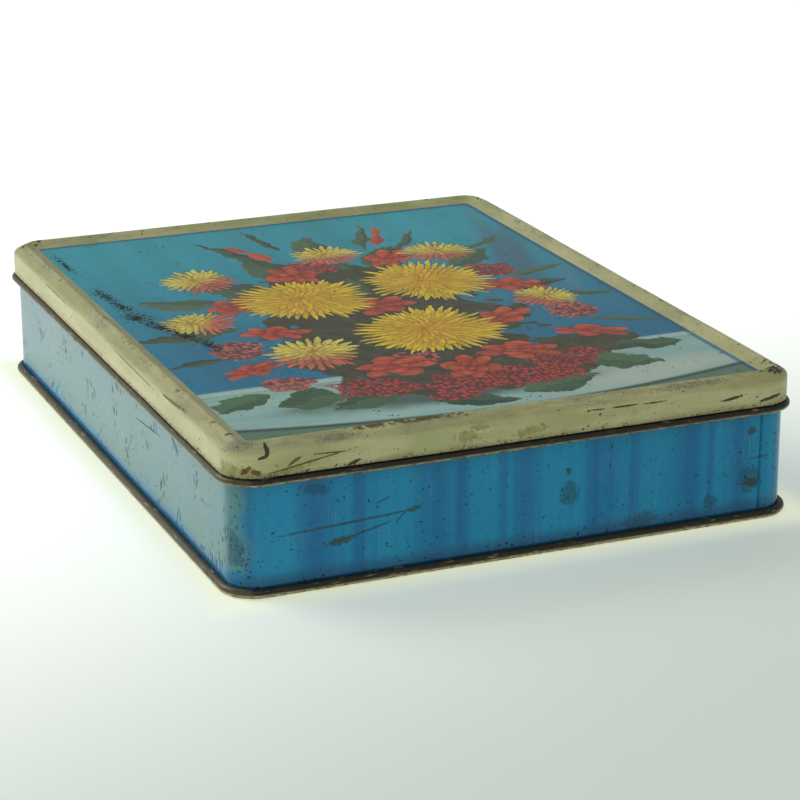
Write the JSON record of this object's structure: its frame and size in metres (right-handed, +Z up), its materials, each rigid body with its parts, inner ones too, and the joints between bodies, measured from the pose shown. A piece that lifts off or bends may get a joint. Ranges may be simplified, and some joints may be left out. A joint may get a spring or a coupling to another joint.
{
  "type": "cookie tin",
  "caption": "Flat rectangular tinplate box with rounded corners, a lift-off lid with recessed top and curled edge, and a rolled bottom bead.",
  "frame": {"origin": "middle of the footprint, on the surface the tin stands on", "axes": "+X along the short side, +Y along the long side from the picture's foot to its head, +Z up through the lid"},
  "size_m": [0.1952, 0.2512, 0.049],
  "materials": {
    "lid_enamel": "aged cream lithographed enamel with a printed picture, satin varnish",
    "wall_enamel": "blue lithographed enamel, glossy varnish with fine scratches",
    "bare_tinplate": "darkened, lightly rusted tinplate"
  },
  "bodies": {
    "tin": {"front_left_wall": "wall_enamel", "back_right_wall": "wall_enamel", "bottom_panel": "bare_tinplate"},
    "lid": {"lid": "lid_enamel"}
  },
  "joints": [
    {"name": "lid_lift", "type": "slide", "parent": "tin", "child": "lid", "axis": [0, 0, 1], "range_m": [0, 0.06]}
  ]
}
